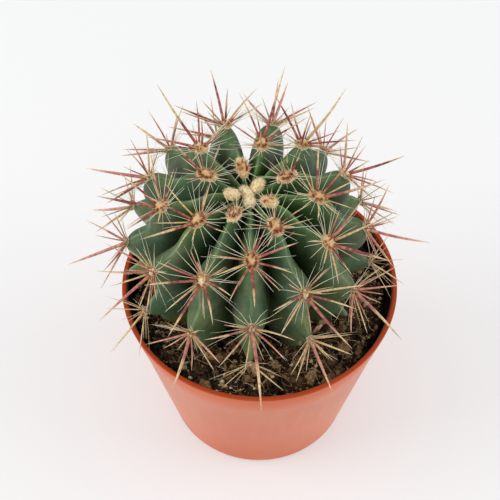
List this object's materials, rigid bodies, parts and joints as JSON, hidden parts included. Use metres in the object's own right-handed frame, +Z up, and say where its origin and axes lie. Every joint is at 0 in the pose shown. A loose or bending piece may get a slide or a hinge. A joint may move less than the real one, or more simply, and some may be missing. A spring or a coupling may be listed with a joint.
{
  "type": "potted round cactus",
  "caption": "Ribbed globe-shaped cactus with sprays of stiff spines along its ribs, rooted in dark potting soil in a plain tapered nursery pot.",
  "frame": {"origin": "middle of the pot's underside, on the pot's axis", "axes": "+Z up along the pot's axis, -Y the front that faces the picture's camera, +X to the right"},
  "size_m": [0.1322, 0.1314, 0.1553],
  "materials": {
    "pot_plastic": "terracotta-coloured moulded plastic, semi-matte",
    "peat_soil": "dark crumbly peat mix with fibres and light grains, matte",
    "cactus_skin": "waxy blue-green skin with a greyish bloom, satin",
    "spines_and_wool": "smooth horny spines, maroon at the root and straw at the tip, on cream woolly pads"
  },
  "bodies": {
    "root": {"pot": "pot_plastic", "soil": "peat_soil", "stem": "cactus_skin", "areole_01": "spines_and_wool", "areole_02": "spines_and_wool", "areole_03": "spines_and_wool", "areole_04": "spines_and_wool", "areole_05": "spines_and_wool", "areole_06": "spines_and_wool", "areole_07": "spines_and_wool", "areole_08": "spines_and_wool", "areole_09": "spines_and_wool", "areole_10": "spines_and_wool", "areole_11": "spines_and_wool", "areole_12": "spines_and_wool", "areole_13": "spines_and_wool", "areole_14": "spines_and_wool", "areole_15": "spines_and_wool", "areole_16": "spines_and_wool", "areole_17": "spines_and_wool", "areole_18": "spines_and_wool", "areole_19": "spines_and_wool", "areole_20": "spines_and_wool", "areole_21": "spines_and_wool", "areole_22": "spines_and_wool", "areole_23": "spines_and_wool", "areole_24": "spines_and_wool", "areole_25": "spines_and_wool", "areole_26": "spines_and_wool", "areole_27": "spines_and_wool", "areole_28": "spines_and_wool", "areole_29": "spines_and_wool", "areole_30": "spines_and_wool", "areole_31": "spines_and_wool", "areole_32": "spines_and_wool", "areole_33": "spines_and_wool", "areole_34": "spines_and_wool", "areole_35": "spines_and_wool", "areole_36": "spines_and_wool", "areole_37": "spines_and_wool", "areole_38": "spines_and_wool", "areole_39": "spines_and_wool", "areole_40": "spines_and_wool", "areole_41": "spines_and_wool"}
  },
  "joints": []
}
